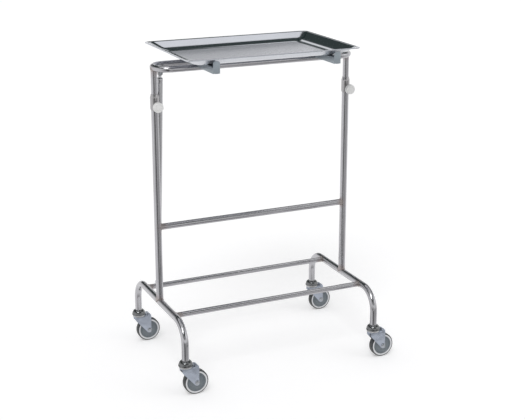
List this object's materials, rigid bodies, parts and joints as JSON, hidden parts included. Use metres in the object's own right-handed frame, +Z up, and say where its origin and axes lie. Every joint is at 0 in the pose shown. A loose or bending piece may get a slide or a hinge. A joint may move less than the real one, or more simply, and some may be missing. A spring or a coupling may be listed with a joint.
{
  "type": "mayo instrument stand",
  "caption": "Wheeled stainless instrument stand: two telescoping posts, clamp knobs, support ring, arms, lift-off tray and swivel casters.",
  "frame": {"origin": "on the floor, under the centre of the stand's box, with the casters trailing towards +X", "axes": "+X along the width from the left post to the right post, -Y to the front where the clamp knobs are, +Z up"},
  "size_m": [0.834, 0.542, 1.142],
  "materials": {
    "stainless_tube": "bright satin stainless tube",
    "stainless_sheet": "polished stainless sheet",
    "polished_collar": "turned and polished",
    "bracket_steel": "satin",
    "pin_steel": "turned",
    "strut_steel": "satin",
    "rod_chrome": "hard chrome",
    "nylon": "natural nylon",
    "knob_plastic": "white moulded plastic",
    "screw_steel": "zinc bright",
    "pad_brass": "turned brass",
    "caster_chrome": "dark bright chrome",
    "race_steel": "hardened ring",
    "fork_steel": "bright zinc pressed steel",
    "bolt_steel": "bright",
    "wheel_plastic": "light grey moulded",
    "tyre_rubber": "dark grey rubber",
    "guard_plastic": "blue grey moulded"
  },
  "bodies": {
    "base": {"left_leg": "stainless_tube", "right_leg": "stainless_tube", "front_base_rail": "stainless_tube", "rear_base_rail": "stainless_tube", "left_post": "stainless_tube", "right_post": "stainless_tube", "cross_bar": "stainless_tube", "left_collar": "polished_collar", "right_collar": "polished_collar", "lower_strut_bracket": "bracket_steel", "lower_strut_pin": "pin_steel", "front_left_swivel_head": "caster_chrome", "front_left_swivel_race": "race_steel", "front_right_swivel_head": "caster_chrome", "front_right_swivel_race": "race_steel", "rear_left_swivel_head": "caster_chrome", "rear_left_swivel_race": "race_steel", "rear_right_swivel_head": "caster_chrome", "rear_right_swivel_race": "race_steel"},
    "top_frame": {"tray_support_ring": "stainless_tube", "left_inner_tube": "stainless_tube", "right_inner_tube": "stainless_tube", "left_tray_arm": "stainless_sheet", "right_tray_arm": "stainless_sheet", "left_tube_glide": "nylon", "right_tube_glide": "nylon", "upper_strut_bracket": "bracket_steel", "upper_strut_pin": "pin_steel"},
    "tray": {"tray": "stainless_sheet"},
    "strut_housing": {"strut_cylinder": "strut_steel", "strut_gland": "nylon"},
    "strut_plunger": {"strut_rod": "rod_chrome", "strut_piston": "nylon"},
    "left_clamp_tip": {"left_clamp_pad": "pad_brass"},
    "left_clamp_handle": {"left_clamp_knob": "knob_plastic", "left_clamp_screw": "screw_steel"},
    "right_clamp_tip": {"right_clamp_pad": "pad_brass"},
    "right_clamp_handle": {"right_clamp_knob": "knob_plastic", "right_clamp_screw": "screw_steel"},
    "front_left_caster": {"front_left_fork": "fork_steel", "front_left_axle_bolt": "bolt_steel"},
    "front_left_roller": {"front_left_wheel": "wheel_plastic", "front_left_tyre": "tyre_rubber", "front_left_thread_guards": "guard_plastic"},
    "front_right_caster": {"front_right_fork": "fork_steel", "front_right_axle_bolt": "bolt_steel"},
    "front_right_roller": {"front_right_wheel": "wheel_plastic", "front_right_tyre": "tyre_rubber", "front_right_thread_guards": "guard_plastic"},
    "rear_left_caster": {"rear_left_fork": "fork_steel", "rear_left_axle_bolt": "bolt_steel"},
    "rear_left_roller": {"rear_left_wheel": "wheel_plastic", "rear_left_tyre": "tyre_rubber", "rear_left_thread_guards": "guard_plastic"},
    "rear_right_caster": {"rear_right_fork": "fork_steel", "rear_right_axle_bolt": "bolt_steel"},
    "rear_right_roller": {"rear_right_wheel": "wheel_plastic", "rear_right_tyre": "tyre_rubber", "rear_right_thread_guards": "guard_plastic"}
  },
  "joints": [
    {"name": "height_slide", "type": "slide", "parent": "base", "child": "top_frame", "axis": [0, 0, 1], "range_m": [-0.07, 0.32]},
    {"name": "tray_lift", "type": "slide", "parent": "top_frame", "child": "tray", "axis": [0, 0, 1], "range_m": [0, 0.15]},
    {"name": "strut_swing", "type": "hinge", "parent": "top_frame", "child": "strut_housing", "pos_m": [-0.3622, 0.025, 1.064], "axis": [0, 1, 0], "range_deg": [-0.8, 0.25]},
    {"name": "strut_stroke", "type": "slide", "parent": "strut_housing", "child": "strut_plunger", "axis": [-0.0356, 0, -0.9994], "range_m": [-0.0705, 0.3205]},
    {"name": "left_screw_travel", "type": "slide", "parent": "base", "child": "left_clamp_tip", "axis": [0, -1, 0], "range_m": [0, 0.00225]},
    {"name": "left_knob_turn", "type": "hinge", "parent": "left_clamp_tip", "child": "left_clamp_handle", "pos_m": [-0.392, -0.03, 0.959], "axis": [0, -1, 0], "range_deg": [0, 540]},
    {"name": "right_screw_travel", "type": "slide", "parent": "base", "child": "right_clamp_tip", "axis": [0, -1, 0], "range_m": [0, 0.00225]},
    {"name": "right_knob_turn", "type": "hinge", "parent": "right_clamp_tip", "child": "right_clamp_handle", "pos_m": [0.338, -0.03, 0.959], "axis": [0, -1, 0], "range_deg": [0, 540]},
    {"name": "front_left_swivel", "type": "hinge", "parent": "base", "child": "front_left_caster", "pos_m": [-0.392, -0.246, 0.103], "axis": [0, 0, 1], "continuous": true},
    {"name": "front_left_roll", "type": "hinge", "parent": "front_left_caster", "child": "front_left_roller", "pos_m": [-0.357, -0.246, 0.044], "axis": [0, 1, 0], "continuous": true},
    {"name": "front_right_swivel", "type": "hinge", "parent": "base", "child": "front_right_caster", "pos_m": [0.338, -0.246, 0.103], "axis": [0, 0, 1], "continuous": true},
    {"name": "front_right_roll", "type": "hinge", "parent": "front_right_caster", "child": "front_right_roller", "pos_m": [0.373, -0.246, 0.044], "axis": [0, 1, 0], "continuous": true},
    {"name": "rear_left_swivel", "type": "hinge", "parent": "base", "child": "rear_left_caster", "pos_m": [-0.392, 0.246, 0.103], "axis": [0, 0, 1], "continuous": true},
    {"name": "rear_left_roll", "type": "hinge", "parent": "rear_left_caster", "child": "rear_left_roller", "pos_m": [-0.357, 0.246, 0.044], "axis": [0, 1, 0], "continuous": true},
    {"name": "rear_right_swivel", "type": "hinge", "parent": "base", "child": "rear_right_caster", "pos_m": [0.338, 0.246, 0.103], "axis": [0, 0, 1], "continuous": true},
    {"name": "rear_right_roll", "type": "hinge", "parent": "rear_right_caster", "child": "rear_right_roller", "pos_m": [0.373, 0.246, 0.044], "axis": [0, 1, 0], "continuous": true}
  ],
  "couplings": [
    {"joint": "strut_swing", "follows": "height_slide", "rad_per_m": -0.035},
    {"joint": "strut_stroke", "follows": "height_slide", "ratio": 0.9995},
    {"joint": "left_knob_turn", "follows": "left_screw_travel", "rad_per_m": 4188.8},
    {"joint": "right_knob_turn", "follows": "right_screw_travel", "rad_per_m": 4188.8}
  ]
}
